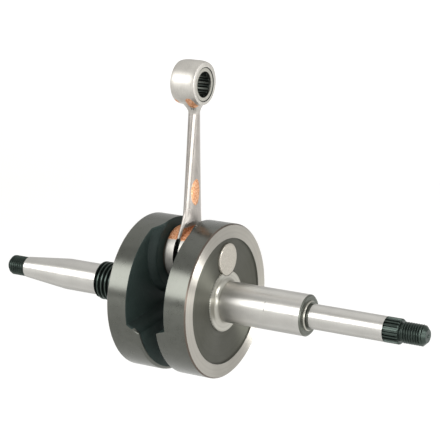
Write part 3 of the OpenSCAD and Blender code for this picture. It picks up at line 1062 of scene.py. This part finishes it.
def place_camera():
    """A long lens a little above the part, turned towards its drive side and rolled slightly."""
    azimuth = math.radians(30.349)
    elevation = math.radians(9.431)
    roll = math.radians(2.930)
    aim = Vector((14.41, 2.94, 38.35)) * MM
    distance = 854.2 * MM
    back = Vector((
        math.sin(azimuth) * math.cos(elevation),
        -math.cos(azimuth) * math.cos(elevation),
        math.sin(elevation),
    ))
    right = Vector((math.cos(azimuth), math.sin(azimuth), 0.0))
    up = back.cross(right)
    rolled_right = math.cos(roll) * right + math.sin(roll) * up
    rolled_up = math.cos(roll) * up - math.sin(roll) * right
    turn = Matrix((rolled_right, rolled_up, back)).transposed().to_4x4()
    data = bpy.data.cameras.new("camera")
    data.lens = 145.27
    data.sensor_width = 36.0
    data.clip_end = 100.0
    camera = bpy.data.objects.new("camera", data)
    camera.matrix_world = Matrix.Translation(aim + back * distance) @ turn
    bpy.context.scene.collection.objects.link(camera)
    bpy.context.scene.camera = camera


def soft_light(name, place, target, size, radiance):
    """A flat soft light that faces a target, as bright as a surface of the given radiance. Its place, its
    target and its size are in metres."""
    data = bpy.data.lights.new(name, "AREA")
    data.shape = "RECTANGLE"
    data.size = size[0]
    data.size_y = size[1]
    data.energy = radiance * math.pi * size[0] * size[1]
    light = bpy.data.objects.new(name, data)
    light.location = place
    light.rotation_euler = (Vector(target) - Vector(place)).to_track_quat("-Z", "Y").to_euler()
    light.visible_camera = False
    bpy.context.scene.collection.objects.link(light)


def build_floor():
    """A large pale floor well below the part, lit up a little behind it so that it comes out white."""
    skin = Skin()
    half = 20000.0
    corners = skin.add([(x * half, y * half, FLOOR_Z) for x, y in ((-1, -1), (1, -1), (1, 1), (-1, 1))])
    skin.face(corners, 0)
    graph = Graph("floor_pale")
    patch = graph.noise(graph.place, 2.0)
    colour = graph.ramp(patch, (0.3, (0.70, 0.70, 0.695)), (0.7, (0.73, 0.73, 0.725)))
    _, y, _ = graph.axes()
    graph.shader.inputs["Emission Color"].default_value = (1.0, 1.0, 1.0, 1.0)
    near = graph.remap(y, -0.1, 0.18, 0.0, 0.26)
    far = graph.remap(y, 0.2, 3.0, 0.0, 0.34)
    graph.feed(graph.shader.inputs["Emission Strength"], graph.math("ADD", near, far))
    floor = skin.build("floor", [graph.finish(colour, 0.7, 0.0)])
    floor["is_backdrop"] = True


def build_world():
    """An even pale surround."""
    world = bpy.data.worlds.new("studio")
    bpy.context.scene.world = world
    world.use_nodes = True
    background = world.node_tree.nodes["Background"]
    background.inputs["Color"].default_value = (1.0, 0.995, 0.98, 1.0)
    background.inputs["Strength"].default_value = 0.72


# ---------------------------------------------------------------- the part

finishes = crank_finishes()

drive = half_crank("drive_half_crank_turned", DRIVE_WEB, drive_shaft_rings(), finishes, False)
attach(drive, "crank")
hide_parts("drive_half_crank")

flywheel = half_crank("flywheel_half_crank_turned", FLYWHEEL_WEB, flywheel_shaft_rings(), finishes, True)
key_seat(flywheel, list(finishes).index("shoulder"))
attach(flywheel, "crank")
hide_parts("flywheel_half_crank")

ground = plain_metal("ground_pin", (0.41, 0.385, 0.335), (0.49, 0.46, 0.405), 0.3)
pin = crankpin([ground])
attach(pin, "crank")
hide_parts("crankpin")

# Near black steel for the bores and slots: painted shade.
bore_painted_shade = plain_metal("bore_steel_painted_shade", (0.035, 0.038, 0.034), (0.07, 0.075, 0.068), 0.4)
rod = connecting_rod([polished_rod("polished_rod"), bore_painted_shade])
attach(rod, "rod")
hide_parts("connecting_rod")

cage = bearing_cage("cage_satin")
# The big end's cage and rollers are coloured near black: painted shade inside the rod's eye and slot.
big_end = plain_metal("big_end_painted_shade", (0.05, 0.055, 0.05), (0.09, 0.095, 0.088), 0.4)
# The needles are coloured near black: painted shade inside the small eye's bore.
needle = plain_metal("needle_painted_shade", (0.031, 0.037, 0.032), (0.047, 0.055, 0.049), 0.36)
washer = plain_metal("washer_satin", (0.10, 0.085, 0.065), (0.16, 0.14, 0.11), 0.42)
# The bearings and washers keep their CAD shapes, so only their materials are set here.
finish_of = {"small_end_cage": cage, "small_end_needle": needle, "big_end": big_end, "thrust_washer": washer}
for node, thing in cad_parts.items():
    for start, material in finish_of.items():
        if node.startswith(start):
            thing.data.materials.clear()
            thing.data.materials.append(material)

build_floor()
build_world()
place_camera()
crank_middle = (0.0, 0.0, 0.0)
crankpin_middle = (0.0, 0.0, 0.02)
soft_light("key", (-0.80, -1.28, 0.54), crankpin_middle, (1.5, 0.88), 4.3)
soft_light("front", (1.05, -0.96, 0.05), crankpin_middle, (1.7, 0.5), 3.2)
soft_light("right", (1.17, 0.27, 0.26), crankpin_middle, (0.3, 0.26), 30.0)
soft_light("top", (0.0, 0.3, 1.6), crank_middle, (2.4, 2.0), 0.35)
bpy.context.scene.view_settings.view_transform = "Standard"

seen_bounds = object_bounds()
sizes = {"cad": cad_bounds, "seen": seen_bounds}
{key: [list(corner) for corner in bounds] for key, bounds in sizes.items()}
